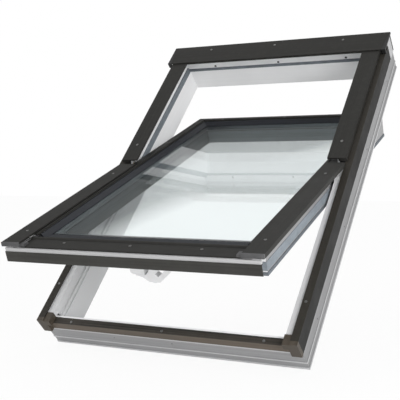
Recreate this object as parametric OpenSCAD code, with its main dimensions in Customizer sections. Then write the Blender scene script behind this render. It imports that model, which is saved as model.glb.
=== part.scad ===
// Centre-pivot roof window of white plastic profiles with dark metal covers.
// X runs across the window, Y up the roof and Z up; the roof plane leans by the pitch.
// Window plane: x across, y up the slope, z out of the roof; the origin is the middle of its back.
// Sash plane: the same axes on the pivot axis, turned by the opening angle.

/* [Window] */
// Outside width of the frame
frame_w = 780; // [660:10:1140]
// Outside length of the frame up the slope
frame_h = 1180; // [980:10:1400]
// Pitch of the roof that carries the window, in degrees
roof_pitch = 45; // [15:1:75]
// Angle by which the sash stands open, in degrees
open_angle = 25.6; // [0:0.2:60]

/* [Frame profile] */
// Height of the plastic frame above its back
frame_d = 124; // [118:1:134]
// Width of a frame profile
frame_face = 44; // [40:1:48]
// Wall of a hollow plastic profile
wall = 3; // [2:0.5:3.5]
// Depth of the step that holds the frame gasket
ledge_d = 6; // [5:0.5:8]
// Level of that step below the top of the frame
ledge_drop = 49; // [44:1:54]
// Height of the gasket on the upper halves of the jambs
gasket_h = 18; // [10:1:20]
// Height of the gasket on the top rail
top_gasket_h = 8; // [6:1:12]
// Level of the bottom rail below the top of the frame
bottom_drop = 19; // [15:1:23]
// Width of the bottom rail above the step
bottom_lip = 24.5; // [22:0.5:28]
// Depth of the outside ribs
rib_d = 1.5; // [1:0.5:2]
// Height of an outside rib
rib_h = 5; // [3:0.5:7]
// Rounding of the outer foot
foot_r = 6; // [4:0.5:7]
// Radius of the fixing holes in the frame
fixing_r = 2.5; // [2:0.25:3]

/* [Metal covers] */
// Sheet thickness of the covers
sheet = 1.5; // [1:0.25:2]
// Level of the wide covers above the plastic frame
cover_rise = 22; // [20:1:26]
// Part of a wide cover's width that lies past the sash
cover_out = 33; // [30:1:36]
// Part of a wide cover's width that lies over the sash
cover_in = 24; // [20:1:25]
// Depth of the folded edge of the frame's wide covers
frame_fold = 13; // [11:0.5:14]
// Depth of the folded edge of the sash's wide covers
sash_fold = 11.5; // [10:0.5:12]
// Start of the frame's wide covers above the pivot
upper_start = 21; // [19:0.5:24]
// Reach of the sash's wide covers above the pivot
lower_start = 6; // [4:0.5:7]
// Width of the side strips on the frame
strip_w = 20; // [18:1:22]
// Depth of the side strips down the frame's outside
strip_drop = 52; // [46:1:60]
// Length of the plastic caps at the strips' lower ends
end_cap_l = 12; // [8:0.5:14]
// Length of the hood up the slope
hood_l = 88; // [76:1:100]
// Height of the hood above the wide covers
hood_rise = 4; // [3.5:0.5:6]
// Narrowing of the hood's metal towards its front, at each end
hood_taper = 10; // [6:1:14]
// Width of the hood's end caps at the back
hood_cap_w = 3; // [2:0.5:5]
// Height of the hood's end caps behind their hooked front
hood_cap_h = 6; // [4:0.5:8]
// Depth of the bottom cover on the frame
bottom_cover_w = 19; // [15:1:20]
// Drop of the bottom cover's front
bottom_cover_drop = 25; // [20:1:30]

/* [Sash] */
// Gap between the sash and the frame at each side
side_gap = 3; // [2.5:0.5:4]
// Gap between the sash and the frame at the top
top_gap = 16; // [12:1:20]
// Gap between the sash and the frame at the bottom
bottom_gap = 10; // [9:0.5:14]
// Width of a sash profile
sash_face = 50; // [47:1:56]
// Depth of the sash profile
sash_d = 82; // [78:1:86]
// Level of the sash profile below the wide covers
sash_drop = 10; // [9:0.5:12]
// Overhang of the sash past the frame's lower end
nose_out = 22; // [20:1:28]
// Length of the white nose at the sash's lower end
nose_l = 5; // [4:0.5:7]
// Height of the nose
nose_h = 9.5; // [7:0.5:11]
// Height of the metal apron at the sash's lower end
apron_h = 29; // [24:1:34]
// Height of the bead on the sash's bottom cover
bead_h = 4; // [3:0.5:5]
// Width of that bead
bead_w = 15; // [12:1:17]

/* [Glazing] */
// Thickness of one pane
pane_t = 4; // [3:0.5:5]
// Gap between the panes
pane_gap = 16; // [12:1:18]
// Depth by which the panes sit in the profile
pane_bite = 13; // [11:1:14]
// Gap between the panes' edge and the profile
pane_room = 3; // [2:0.5:4]
// Depth of the glass below the top of the sash profile
glass_drop = 14; // [13:0.5:16]
// Length by which the outer pane runs past the inner one at the bottom
pane_step = 30; // [26:1:32]
// Thickness of a glazing gasket
seal_t = 2; // [1.5:0.25:2.5]

/* [Hinge] */
// Radius of the hinge's curved track
track_r = 40; // [38:0.5:42]
// Width of the friction shoe in the track
shoe_w = 6; // [5:0.5:7]
// Clearance of the friction shoe in the track
shoe_gap = 0.3; // [0.2:0.05:0.5]
// Width of a rib beside the track
track_rib = 4; // [3:0.5:5]
// Half angle of the track, in degrees
track_half_angle = 80; // [79:1:82]
// Half angle of the friction shoe, in degrees
shoe_half_angle = 13; // [8:1:13]
// Full opening of the sash from shut, in degrees
full_open_angle = 130; // [110:1:132]

/* [Handle and lock] */
// Reach of the handle loop from its hub
handle_l = 112; // [96:1:124]
// Depth of the handle below the sash
handle_d = 47; // [44:1:54]
// Width of the handle's grip
grip_w = 22; // [18:1:26]
// Radius of the handle's spindle
spindle_r = 5; // [4:0.5:6]
// Travel of the lock bar
bar_travel = 16; // [14:0.5:18]
// Distance of the lock pegs from the middle
peg_at = 200; // [160:1:230]
// Reach of a strike plate's hook
hook_reach = 7; // [6:0.5:8]
// Height of the lock bar
bar_h = 8; // [6:0.5:9]
// Thickness of the lock bar
bar_t = 2; // [1.5:0.25:2.5]

/* [Screws] */
// Radius of a screw head
head_r = 4; // [3:0.25:4.5]
// Height of a screw head
head_h = 1.6; // [1.2:0.1:2.2]
// Radius of a screw's shank
shank_r = 1.8; // [1.5:0.1:2]
// Length of a screw's shank
shank_l = 9; // [7:0.5:10]

/* [Hidden] */
$fn = 48;
over = 1;
clear = 0.3;

// Frame: half sizes, inner faces and levels
half_w = frame_w / 2;
half_h = frame_h / 2;
in_w = half_w - frame_face;
in_h = half_h - frame_face;
step_w = in_w + ledge_d;
step_h = in_h + ledge_d;
lip_h = half_h - bottom_lip;
ledge_n = frame_d - ledge_drop;
bottom_d = frame_d - bottom_drop;
seat_h = 4;
seat_n = frame_d + seat_h;
strip_n = seat_n + sheet;
flange_n = strip_n - strip_drop;
cover_n = frame_d + cover_rise;
hood_n = cover_n + hood_rise;
hood_high = half_h + sheet + clear;
hood_low = hood_high - hood_l;
web_share = 0.46;
fixing_shares = [-0.79, -0.26, 0.26, 0.79];
fixing_n_share = 0.66;
drain_shares = [-0.44, 0.03];
drain_n_share = 0.73;

// Sash: half sizes and levels below the wide covers
sash_w = in_w - side_gap;
sash_top = in_h - top_gap;
sash_bot = in_h - bottom_gap;
cover_a = sash_w + cover_out;
cover_b = sash_w - cover_in;
cover_mid = (cover_a + cover_b) / 2;
m_top = -sash_drop;
m_bot = m_top - sash_d;
lid_m = m_top + sheet;
strip_m = strip_n - cover_n;
nose_s = half_h + nose_out;
cover_s = nose_s - nose_l;
bottom_m = m_top - seal_t;
inner_fold = sash_drop / 2;
carrier_w = cover_a - strip_w / 2;
gasket_t = side_gap / 2;
band_shares = [0.55, 0.83];
seal_shares = [0.88, 0.99];

// Glazing: daylight edges, pane edges and levels
day_w = sash_w - sash_face;
day_top = sash_top - sash_face;
day_bot = sash_bot - sash_face;
rebate = pane_bite + pane_room;
pane_w = day_w + pane_bite;
pane_top = day_top + pane_bite;
pane_bot = day_bot + pane_bite;
outer_bot = pane_bot + pane_step;
unit_t = 2 * pane_t + pane_gap;
m_glass = m_top - glass_drop;
m_seat = m_glass - unit_t - seal_t;
m_step = m_glass - pane_t - seal_t;

// Bottom cover of the sash: its edge on the glass, its bead and the foot of its slope
edge_s = 2 * sheet - outer_bot;
edge_m = m_glass + seal_t;
bead_s = 1.5 * bead_w - (sash_bot + nose_s) / 2;
foot_s = bead_s + bead_w / 2;

// Hinge: the gap that it fills, its sheet and the end of its reach
hinge_gap = step_w - sash_w;
hinge_sheet_share = 0.2;
hinge_sheet = hinge_sheet_share * hinge_gap;
rib_t = hinge_gap - 2 * hinge_sheet - 2 * shoe_gap;
track_in = track_r - shoe_w / 2 - shoe_gap;
track_out = track_r + shoe_w / 2 + shoe_gap;
hinge_reach = track_out + track_rib;
carrier_gap = 8;
carrier_end = hinge_reach + carrier_gap;
shoe_angle = full_open_angle / 2;
rib_angle_share = 0.9875;
rib_half_angle = rib_angle_share * track_half_angle;

// Handle and lock: hub, pinion and levels
hub_x_share = -0.22;
hub_x = hub_x_share * handle_l;
hub_y = sash_face / 2 - sash_bot;
base_d_share = 0.53;
base_d = base_d_share * handle_d;
base_shares = [-0.18, 0.13];
// Outline of the lever as shares of its reach and depth, then its finger hole and its round belly
lever_shares = [
  [-0.1, 0.54], [0.17, 0.54], [0.33, 0.08], [0.93, 0.08], [0.515, 0.95], [0.23, 0.95],
  [0.08, 0.7], [-0.04, 0.61], [-0.1, 0.59]
];
hole_shares = [[0.4, 0.47], [0.55, 0.2], [0.68, 0.2], [0.485, 0.62]];
belly_share = [0.37, 0.69];
rack_share = 0.37;
rack_m = m_bot + rack_share * sash_d;
rack_h = 3;
pinion_r = bar_travel / (PI / 2);
bar_s = -sash_bot - clear;
bar_m = rack_m + rack_h / 2;
peg_head_r = 5;
peg_r = 3.5;
peg_gap = 4;
peg_l = lip_h - peg_gap + bar_s - bar_t;

// Screws: drilled radius and places as shares of the pieces that they hold
screw_hole = shank_r + clear / 3;
cover_screw_share = 0.165;
strip_screw_shares = [-0.8, 0.87];
bottom_screw_shares = [-0.75, 0, 0.75];
hood_screw_shares = [-0.62, 0, 0.62];
top_screw_share = 0.16;
side_screw_shares = [-0.14, -0.87];
glazing_screw_shares = [-0.75, -0.04, 0.46, 0.9];
apron_screw_shares = [-1, 0, 1];

white = "whitesmoke";
dark = "dimgray";
black = "#2b2b2d";
slate = "slategray";
steel = "silver";
glass = "lightcyan";
glass_alpha = 0.4;

// Places and plain shapes

module on_roof() {
  rotate([roof_pitch, 0, 0]) children();
}

module in_sash() {
  on_roof() translate([0, 0, cover_n]) rotate([-open_angle, 0, 0]) children();
}

module flip(left) {
  mirror([left ? 1 : 0, 0, 0]) children();
}

module both_sides() {
  children();
  mirror([1, 0, 0]) children();
}

// A section drawn as y and z, drawn out along x
module along_x(length) {
  rotate([90, 0, 90]) linear_extrude(length, center = true) children();
}

// A section drawn as x and z, drawn out along y between two places
module along_y(from, to) {
  translate([0, to, 0]) rotate([90, 0, 0]) linear_extrude(to - from) children();
}

module slab(from, to) {
  translate([0, 0, from]) linear_extrude(to - from) children();
}

module block(low, high) {
  translate(low) cube(high - low);
}

module rect(low, high) {
  translate(low) square(high - low);
}

// The sharp part of a corner at the origin that a rounding takes away
module corner_waste(r) {
  difference() {
    rect([-over, -over], [r, r]);
    translate([r, r]) circle(r);
  }
}

// Plan of the right-hand member of a mitred frame
module side_plan(w, low, high, depth) {
  polygon([[w, -low], [w, high], [w - depth, high - depth], [w - depth, depth - low]]);
}

// Plan of a right-hand member that is mitred at its upper end only
module half_mitred_plan(w, low, high, depth) {
  polygon([[w, -low], [w, high], [w - depth, high - depth], [w - depth, -low]]);
}

// Plan of the top member, and turned round of the bottom member, of a mitred frame
module end_plan(w, high, depth) {
  polygon([[-w, high], [w, high], [w - depth, high - depth], [depth - w, high - depth]]);
}

// A hollow bar's section
module box_section(low, high, t) {
  difference() {
    rect(low, high);
    rect(low + [t, t], high - [t, t]);
  }
}

// A flat ring round the sash opening, between two distances from the daylight edge
module sash_ring(out, inside, low, high) {
  slab(low, high) difference() {
    rect([-day_w - out, -day_bot - out], [day_w + out, day_top + out]);
    rect([-day_w - inside, -day_bot - inside], [day_w + inside, day_top + inside]);
  }
}

// Screw standing on a face, with its head towards z
module screw() {
  cylinder(h = head_h / 2, r = head_r);
  translate([0, 0, head_h / 2]) cylinder(h = head_h / 2, r1 = head_r, r2 = head_r / 2);
  translate([0, 0, -shank_l]) cylinder(h = shank_l + head_h / 2, r = shank_r);
}

module screw_drill() {
  translate([0, 0, -shank_l - over]) cylinder(h = shank_l + 2 * over, r = screw_hole);
}

// Places of the screws; the children are drawn at each

module upper_cover_screw_places() {
  translate([cover_mid, cover_screw_share * in_h, cover_n]) children();
}

module strip_screw_places() {
  for (share = strip_screw_shares)
    translate([half_w - strip_w / 2, share * half_h, strip_n]) children();
}

module bottom_cover_screw_places() {
  for (share = bottom_screw_shares)
    translate([share * half_w, bottom_cover_w / 3 - half_h, bottom_d + sheet]) children();
}

module hood_screw_places() {
  for (share = hood_screw_shares)
    translate([share * half_w, half_h - frame_face / 2, hood_n]) children();
}

module top_rail_screw_places() {
  low = ledge_n + top_gasket_h;
  level = low + top_screw_share * (frame_d - low);
  for (share = hood_screw_shares)
    translate([share * half_w, step_h, level]) rotate([90, 0, 0]) children();
}

module hinge_screw_places() {
  for (y = [-track_r, track_r])
    translate([step_w - hinge_sheet, y, frame_d - frame_face / 3]) rotate([0, -90, 0]) children();
}

module sash_side_screw_places() {
  for (share = side_screw_shares)
    translate([cover_mid, share * nose_s, 0]) children();
}

module glazing_cover_screw_places() {
  for (share = glazing_screw_shares)
    translate([sash_w - sash_face / 5, share * sash_top, lid_m]) children();
}

module glazing_top_screw_places() {
  for (share = hood_screw_shares)
    translate([share * half_w, sash_top - sash_face / 3, lid_m]) children();
}

module sash_bottom_screw_places() {
  for (share = apron_screw_shares)
    translate([share * peg_at, -(sash_bot + nose_s) / 2, bottom_m]) children();
}

// Frame profiles

// Section of a frame member: x from its outside inwards, y from its back outwards
module frame_section(top, upper_w) {
  difference() {
    union() {
      polygon([
        [rib_d, 0], [frame_face, 0], [frame_face, ledge_n], [upper_w, ledge_n],
        [upper_w, top], [0, top], [0, flange_n], [rib_d, flange_n]
      ]);
      for (share = [web_share, 1])
        rect([0, share * flange_n - rib_h], [rib_d + over, share * flange_n]);
      rect([0, 0], [foot_r, foot_r + rib_h]);
    }
    corner_waste(foot_r);
    frame_chambers(top, upper_w);
  }
}

module frame_chambers(top, upper_w) {
  web_n = web_share * ledge_n;
  inner = frame_face - wall;
  outer = rib_d + wall;
  rect([outer, wall], [inner, web_n - wall / 2]);
  rect([outer, web_n + wall / 2], [inner, ledge_n - wall]);
  rect([wall, ledge_n], [upper_w - wall, top - wall]);
}

// The same with the raised seat of a side strip
module seated_section() {
  frame_section(frame_d, frame_face - ledge_d);
  rect([0, frame_d - over], [strip_w - sheet, seat_n]);
}

module frame_jamb(left) {
  depth = frame_face + over;
  color(white) on_roof() flip(left) difference() {
    intersection() {
      along_y(-half_h, half_h) translate([half_w, 0]) mirror([1, 0]) seated_section();
      union() {
        slab(-over, bottom_d) side_plan(half_w, half_h, half_h, depth);
        slab(bottom_d, seat_n + over) half_mitred_plan(half_w, half_h, half_h, depth);
      }
    }
    for (share = fixing_shares)
      translate([half_w, share * half_h, fixing_n_share * ledge_n]) rotate([0, 90, 0])
        cylinder(h = 2 * (rib_d + wall + over), r = fixing_r, center = true);
    strip_screw_places() screw_drill();
    hinge_screw_places() screw_drill();
  }
}

module frame_left_jamb() {
  frame_jamb(true);
}

module frame_right_jamb() {
  frame_jamb(false);
}

module frame_top_rail() {
  color(white) on_roof() difference() {
    intersection() {
      along_x(frame_w) translate([half_h, 0]) mirror([1, 0]) seated_section();
      slab(-over, seat_n + over) end_plan(half_w, half_h, frame_face + over);
    }
    top_rail_screw_places() screw_drill();
  }
}

module frame_bottom_rail() {
  color(white) on_roof() difference() {
    intersection() {
      along_x(frame_w) translate([-half_h, 0]) frame_section(bottom_d, bottom_lip);
      slab(-over, bottom_d + over) rotate([0, 0, 180]) end_plan(half_w, half_h, frame_face + over);
    }
    for (share = drain_shares)
      translate([share * half_w, -half_h, drain_n_share * ledge_n]) rotate([90, 0, 0])
        cylinder(h = 2 * (rib_d + wall + over), r = fixing_r, center = true);
    bottom_cover_screw_places() screw_drill();
  }
}

// Steel box sections inside the middle chambers
module frame_reinforcement() {
  low = web_share * ledge_n + wall / 2 + clear;
  high = ledge_n - wall - clear;
  out = rib_d + wall + clear;
  inn = frame_face - wall - clear;
  color(steel) on_roof() {
    both_sides() along_y(frame_face - half_h, half_h - frame_face)
      box_section([half_w - inn, low], [half_w - out, high], sheet);
    along_x(frame_w - 2 * frame_face) box_section([half_h - inn, low], [half_h - out, high], sheet);
    along_x(frame_w - 2 * frame_face) box_section([out - half_h, low], [inn - half_h, high], sheet);
  }
}

// Grey gasket in the frame's step: top rail and upper halves of the jambs
module frame_upper_gasket() {
  color(slate) on_roof() {
    both_sides() along_y(carrier_end, in_h) translate([step_w, 0]) gasket_section(ledge_n + gasket_h);
    along_x(2 * step_w) translate([step_h, 0]) gasket_section(ledge_n + top_gasket_h);
  }
}

module gasket_section(high) {
  lip = ledge_d / 4;
  polygon([[0, ledge_n], [0, high], [-ledge_d / 2, high], [lip - ledge_d, high - lip],
    [lip - ledge_d, ledge_n + 2 * lip], [-ledge_d, ledge_n + lip], [-ledge_d, ledge_n]]);
}

// White strips with two ridges that close the step on the lower halves of the jambs
module frame_lower_liners() {
  high = ledge_n + gasket_h;
  ridge = gasket_h / 4;
  color(white) on_roof() both_sides() along_y(-lip_h, -carrier_end) translate([step_w, 0])
    polygon([
      [0, ledge_n], [0, high], [-ledge_d, high], [-ledge_d, high - ridge],
      [-ledge_d / 2, high - ridge], [-ledge_d / 2, ledge_n + ridge],
      [-ledge_d, ledge_n + ridge], [-ledge_d, ledge_n]
    ]);
}

// Metal covers of the frame

// Folded hood over the top rail, narrower at its front
module hood() {
  reach = half_w + sheet;
  front = reach - hood_taper;
  lip = cover_n - inner_fold;
  color(dark) on_roof() difference() {
    union() {
      slab(hood_n - sheet, hood_n) polygon([
        [-front, hood_low], [front, hood_low], [reach, hood_high], [-reach, hood_high]
      ]);
      block([-cover_b + clear, hood_low, lip], [cover_b - clear, hood_low + sheet, hood_n]);
      block([-front, hood_low, cover_n + clear], [front, hood_low + sheet, hood_n]);
      block([-reach, hood_high - sheet, flange_n], [reach, hood_high, hood_n]);
    }
    hood_screw_places() screw_drill();
  }
}

// Black plastic wedges that close the hood's ends, thin behind and deep at their hooked front
module hood_end_caps() {
  reach = half_w + sheet;
  high = hood_n - clear;
  color(black) on_roof() both_sides() intersection() {
    slab(strip_n + head_h + clear, high) polygon([
      [reach - hood_taper, hood_low], [reach + hood_cap_w, hood_low],
      [reach + hood_cap_w, hood_high], [reach, hood_high], [reach, hood_high - sheet]
    ]);
    union() {
      block([0, 0, high - hood_cap_h], [frame_w, frame_h, hood_n]);
      block([0, 0, 0], [frame_w, hood_low + hood_cap_h, hood_n]);
    }
  }
}

// White blocks on the frame's upper corners that carry the wedges
module hood_end_blocks() {
  color(white) on_roof() both_sides()
    block([half_w - strip_w, in_h + clear, seat_n], [half_w, half_h, hood_n - clear - hood_cap_h]);
}

module side_strip(left) {
  inner = half_w - strip_w;
  color(dark) on_roof() flip(left) difference() {
    along_y(-half_h, in_h - sheet) polygon([
      [half_w, flange_n], [half_w + sheet, flange_n], [half_w + sheet, strip_n], [inner, strip_n],
      [inner, seat_n - sheet], [inner + sheet, seat_n - sheet], [inner + sheet, seat_n], [half_w, seat_n]
    ]);
    strip_screw_places() screw_drill();
  }
}

module side_strip_left() {
  side_strip(true);
}

module side_strip_right() {
  side_strip(false);
}

// Dark plastic cap on the lower end of a side strip and of the jamb below it
module strip_end_cap(left) {
  inner = half_w - strip_w;
  foot = bottom_d + sheet;
  color(black) on_roof() flip(left) along_y(-half_h - end_cap_l, -half_h) polygon([
    [inner, strip_n], [half_w + sheet, strip_n], [half_w + sheet, flange_n],
    [inner - ledge_d, flange_n], [inner - ledge_d, foot], [inner, foot]
  ]);
}

module strip_end_cap_left() {
  strip_end_cap(true);
}

module strip_end_cap_right() {
  strip_end_cap(false);
}

// Dark plastic block round the inner corner at a jamb's lower end
module corner_block(left) {
  foot = bottom_d + sheet;
  inner = step_w - sheet;
  outer = half_w - strip_w;
  color(black) on_roof() flip(left) difference() {
    block([inner, -half_h - end_cap_l, foot], [outer, bottom_cover_w - half_h, frame_d + wall]);
    block([step_w, -half_h, foot - over], [outer + over, bottom_cover_w - half_h + over, frame_d]);
  }
}

module corner_block_left() {
  corner_block(true);
}

module corner_block_right() {
  corner_block(false);
}

module bottom_cover() {
  foot = bottom_d - bottom_cover_drop;
  top = bottom_d + sheet;
  top_w = step_w - clear;
  front_w = half_w - strip_w - ledge_d;
  color("#6a625a") on_roof() difference() {
    union() {
      block([-top_w, -half_h - sheet, bottom_d], [top_w, bottom_cover_w - half_h, top]);
      block([-front_w, -half_h - sheet, foot], [front_w, -half_h, top]);
    }
    bottom_cover_screw_places() screw_drill();
  }
}

// Plastic bar that carries a wide cover above the jamb, notched round the hinge
module upper_cover_carrier(left) {
  outer = half_w - strip_w;
  color(black) on_roof() flip(left) difference() {
    along_y(upper_start + sheet, in_h)
      box_section([in_w, frame_d], [outer, cover_n - sheet], wall);
    upper_cover_screw_places() screw_drill();
    block([in_w - over, 0, frame_d - over], [step_w + clear, hinge_reach + clear, cover_n]);
  }
}

module upper_cover_carrier_left() {
  upper_cover_carrier(true);
}

module upper_cover_carrier_right() {
  upper_cover_carrier(false);
}

// Section of a wide cover: flat sheet with a deep outer fold and a shallow inner fold
module cover_section(fold) {
  polygon([
    [cover_b, -inner_fold], [cover_b, 0], [cover_a, 0], [cover_a, -fold], [cover_a - sheet, -fold],
    [cover_a - sheet, -sheet], [cover_b + sheet, -sheet], [cover_b + sheet, -inner_fold]
  ]);
}

module upper_side_cover(left) {
  color(dark) on_roof() flip(left) difference() {
    translate([0, 0, cover_n]) union() {
      along_y(upper_start, in_h) cover_section(frame_fold);
      along_y(upper_start, upper_start + sheet) {
        rect([step_w, -frame_fold], [cover_a, 0]);
        rect([cover_b, -inner_fold], [cover_a, 0]);
      }
    }
    upper_cover_screw_places() screw_drill();
  }
}

module upper_side_cover_left() {
  upper_side_cover(true);
}

module upper_side_cover_right() {
  upper_side_cover(false);
}

module frame_cover_screws() {
  color(steel) on_roof() {
    both_sides() {
      upper_cover_screw_places() screw();
      strip_screw_places() screw();
    }
    bottom_cover_screw_places() screw();
    hood_screw_places() screw();
  }
}

module top_rail_screws() {
  color(steel) on_roof() top_rail_screw_places() screw();
}

// Friction hinge: a curved track on the frame round the pivot axis, a shoe on the sash

// Sector of a ring round the pivot axis, measured from straight below it
module track_sector(inner, outer, from, to) {
  steps = 12;
  reach = 2 * outer;
  intersection() {
    difference() {
      circle(outer, $fn = 96);
      circle(inner, $fn = 96);
    }
    polygon(concat([[0, 0]], [for (i = [0 : steps]) let (a = from + (to - from) * i / steps)
      [reach * sin(a), -reach * cos(a)]]));
  }
}

module frame_hinge(left) {
  foot = ledge_n + gasket_h + clear;
  color(steel) on_roof() flip(left) difference() {
    union() {
      translate([step_w - hinge_sheet / 2, 0, 0]) along_x(hinge_sheet) union() {
        translate([0, cover_n])
          track_sector(track_in - track_rib, hinge_reach, -track_half_angle, track_half_angle);
        rect([-hinge_reach, foot], [hinge_reach, frame_d]);
      }
      translate([step_w - hinge_sheet - rib_t / 2, 0, cover_n]) along_x(rib_t) {
        track_sector(track_in - track_rib + clear, track_in, -rib_half_angle, rib_half_angle);
        track_sector(track_out, hinge_reach - clear, -rib_half_angle, rib_half_angle);
      }
    }
    hinge_screw_places() screw_drill();
  }
}

module frame_hinge_left() {
  frame_hinge(true);
}

module frame_hinge_right() {
  frame_hinge(false);
}

module hinge_screws() {
  color(steel) on_roof() both_sides() hinge_screw_places() screw();
}

module sash_hinge(left) {
  shoe_s = track_r * sin(shoe_angle);
  color(steel) in_sash() flip(left) translate([sash_w + hinge_sheet / 2, 0, 0]) along_x(hinge_sheet)
    rect([-hinge_reach, m_top - track_r], [shoe_s + hinge_reach / 2, m_top]);
}

module sash_hinge_left() {
  sash_hinge(true);
}

module sash_hinge_right() {
  sash_hinge(false);
}

// Curved shoes that run in the tracks
module friction_shoes() {
  middle = sash_w + hinge_sheet + rib_t / 2;
  color("goldenrod") in_sash() both_sides() translate([middle, 0, 0]) along_x(rib_t)
    track_sector(track_r - shoe_w / 2, track_r + shoe_w / 2,
      shoe_angle - shoe_half_angle, shoe_angle + shoe_half_angle);
}

// Sash profiles

// Section of a sash member: x from its outside inwards, y as the level; its top differs at the bottom
module sash_section(top) {
  shelf = sash_face - rebate;
  difference() {
    polygon([[0, m_bot], [sash_face, m_bot], [sash_face, m_seat], [shelf, m_seat], [shelf, top], [0, top]]);
    rect([wall, m_bot + wall], [sash_face - wall, m_seat - wall]);
    rect([wall, m_seat], [shelf - wall, top - wall]);
  }
}

module sash_stile(left) {
  color(white) in_sash() flip(left) difference() {
    intersection() {
      along_y(-sash_bot, sash_top) translate([sash_w, 0]) mirror([1, 0]) sash_section(m_top);
      slab(m_bot - over, m_top + over) side_plan(sash_w, sash_bot, sash_top, sash_face + over);
    }
    glazing_cover_screw_places() screw_drill();
  }
}

module sash_left_stile() {
  sash_stile(true);
}

module sash_right_stile() {
  sash_stile(false);
}

module sash_top_rail() {
  color(white) in_sash() difference() {
    intersection() {
      along_x(2 * sash_w) translate([sash_top, 0]) mirror([1, 0]) sash_section(m_top);
      slab(m_bot - over, m_top + over) end_plan(sash_w, sash_top, sash_face + over);
    }
    glazing_top_screw_places() screw_drill();
  }
}

// Lower top than the stiles, because the outer pane runs over it; drilled and slotted for the lock
module sash_bottom_rail() {
  slot_w = 2 * pinion_r + bar_travel;
  color(white) in_sash() difference() {
    intersection() {
      along_x(2 * sash_w) translate([-sash_bot, 0]) sash_section(m_step);
      slab(m_bot - over, m_top + over) rotate([0, 0, 180]) end_plan(sash_w, sash_bot, sash_face + over);
    }
    translate([hub_x, hub_y, m_bot - over]) cylinder(h = wall + 2 * over, r = spindle_r + clear);
    block([hub_x - slot_w, -sash_bot - over, rack_m - clear],
      [hub_x + slot_w, wall + over - sash_bot, rack_m + rack_h + clear]);
  }
}

// Steel box sections in the upper chambers, clear of the cover screws
module sash_reinforcement() {
  low = m_seat + clear;
  high = lid_m - shank_l - over;
  out = wall + clear;
  inn = sash_face - rebate - wall - clear;
  color(steel) in_sash() {
    both_sides() along_y(sash_face - sash_bot, sash_top - sash_face)
      box_section([sash_w - inn, low], [sash_w - out, high], sheet);
    along_x(2 * day_w) box_section([sash_top - inn, low], [sash_top - out, high], sheet);
    along_x(2 * day_w) box_section([out - sash_bot, low], [inn - sash_bot, m_step - wall - clear], sheet);
  }
}

// Double glazing with an outer pane that runs on over the bottom rail

module outer_pane() {
  low = m_glass - pane_t;
  color(glass, glass_alpha) in_sash() block([-pane_w, -outer_bot, low], [pane_w, pane_top, m_glass]);
}

module inner_pane() {
  low = m_glass - unit_t;
  color(glass, glass_alpha) in_sash() block([-pane_w, -pane_bot, low], [pane_w, pane_top, low + pane_t]);
}

module spacer_frame() {
  color(steel) in_sash() sash_ring(pane_bite / 2, seal_t / 2, m_glass - unit_t + pane_t, m_glass - pane_t);
}

module edge_seal() {
  color(black) in_sash() sash_ring(pane_bite, pane_bite / 2, m_glass - unit_t + pane_t, m_glass - pane_t);
}

// Bed of the inner pane, and of the outer pane's longer end
module inner_glazing_gasket() {
  color(black) in_sash() {
    sash_ring(pane_bite, seal_t / 2, m_seat, m_glass - unit_t);
    block([-pane_w, -outer_bot, m_step], [pane_w, rebate / 2 - outer_bot, m_glass - pane_t]);
  }
}

// Black wedge from the covers down to the glass at the sides and top, flat strip at the bottom
module outer_glazing_gasket() {
  rise = glass_drop - seal_t / 2;
  color(black) in_sash() {
    both_sides() intersection() {
      along_y(-outer_bot, pane_top + pane_room) translate([day_w, m_glass]) wedge_section(rise);
      slab(m_glass - over, m_top + over)
        half_mitred_plan(day_w + rebate, outer_bot + over, day_top + rebate, rebate + over);
    }
    intersection() {
      along_x(2 * (day_w + rebate)) translate([day_top, m_glass]) wedge_section(rise);
      slab(m_glass - over, m_top + over) end_plan(day_w + rebate, day_top + rebate, rebate + over);
    }
    block([-day_w, -outer_bot, m_glass], [day_w, rebate / 2 - outer_bot, m_glass + seal_t]);
  }
}

module wedge_section(rise) {
  back = rebate - clear;
  polygon([[0, 0], [back, 0], [back, rise], [pane_bite, rise], [0, seal_t]]);
}

// Metal covers of the sash

module glazing_cover(left) {
  color(dark) in_sash() flip(left) difference() {
    intersection() {
      along_y(-sash_bot, sash_top) translate([sash_w, 0]) mirror([1, 0]) glazing_cover_lid();
      slab(m_bot, sash_drop) half_mitred_plan(sash_w, sash_bot + over, sash_top, sash_face + over);
    }
    glazing_cover_screw_places() screw_drill();
  }
}

// Section of a glazing cover: x from the sash's outside inwards, a flat strip with a rounded bead
module glazing_cover_lid() {
  bead_r = sash_drop / 3;
  rect([0, m_top], [sash_face - rebate, lid_m]);
  translate([cover_in + bead_r, lid_m]) intersection() {
    circle(bead_r);
    rect([-bead_r, -sheet], [bead_r, bead_r]);
  }
}

module glazing_cover_left() {
  glazing_cover(true);
}

module glazing_cover_right() {
  glazing_cover(false);
}

module glazing_cover_top() {
  color(dark) in_sash() difference() {
    intersection() {
      along_x(2 * sash_w) translate([sash_top, 0]) mirror([1, 0]) glazing_cover_lid();
      slab(m_bot, sash_drop) end_plan(sash_w, sash_top, sash_face + over);
    }
    glazing_top_screw_places() screw_drill();
  }
}

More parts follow.
